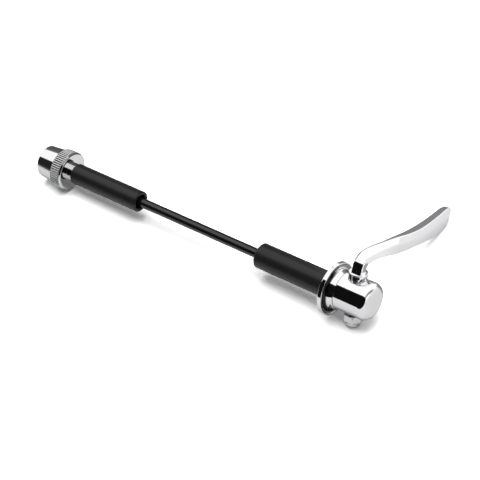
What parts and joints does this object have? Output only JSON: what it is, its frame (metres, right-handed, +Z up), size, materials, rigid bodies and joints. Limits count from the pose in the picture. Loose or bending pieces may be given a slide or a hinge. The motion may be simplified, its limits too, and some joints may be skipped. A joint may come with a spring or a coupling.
{
  "type": "thru axle adapter",
  "caption": "Quick release skewer with an internal cam lever, a cone nut and black sleeves that adapts its clamp to 12 mm thru axle dropouts.",
  "frame": {"origin": "on the skewer's axis at the inboard face of the flange cap's disc, where the cam sleeve ends", "axes": "+X along the skewer from the end nut to the cam housing; +Z up with the part at rest on the nut rim, the lever nut and the lever tip; the closed lever runs towards +Y"},
  "size_m": [0.1931, 0.0897, 0.0328],
  "materials": {
    "black_sleeve": "satin black anodised tube",
    "black_rod": "semi-gloss black steel rod",
    "chrome": "bright chrome plate",
    "lever_chrome": "chrome plate over a forging, faintly uneven",
    "nickel": "dull nickel plate",
    "nylon": "natural nylon"
  },
  "bodies": {
    "housing": {"housing": "chrome", "flange_cap": "chrome", "cam_sleeve": "black_sleeve"},
    "lever": {"lever": "lever_chrome", "lever_nut": "nickel", "lever_nut_ring": "nylon"},
    "rod": {"rod": "black_rod"},
    "nut_sleeve": {"nut_sleeve": "black_sleeve"},
    "end_nut": {"end_nut": "chrome", "lock_insert": "nylon"}
  },
  "joints": [
    {"name": "lever_swing", "type": "hinge", "parent": "housing", "child": "lever", "pos_m": [0.0121, 0, 0], "axis": [0, -0.3024, -0.9532], "range_deg": [0, 180]},
    {"name": "rod_pull", "type": "slide", "parent": "housing", "child": "rod", "axis": [1, 0, 0], "range_m": [-0.0025, 0]},
    {"name": "nut_travel", "type": "slide", "parent": "rod", "child": "nut_sleeve", "axis": [-1, 0, 0], "range_m": [0, 0.0048]},
    {"name": "nut_spin", "type": "hinge", "parent": "nut_sleeve", "child": "end_nut", "pos_m": [-0.16, 0, 0], "axis": [-1, 0, 0], "range_deg": [0, 2160]}
  ],
  "couplings": [
    {"joint": "rod_pull", "follows": "lever_swing", "m_per_rad": -0.00079577},
    {"joint": "nut_travel", "follows": "nut_spin", "m_per_rad": 0.00012732}
  ]
}
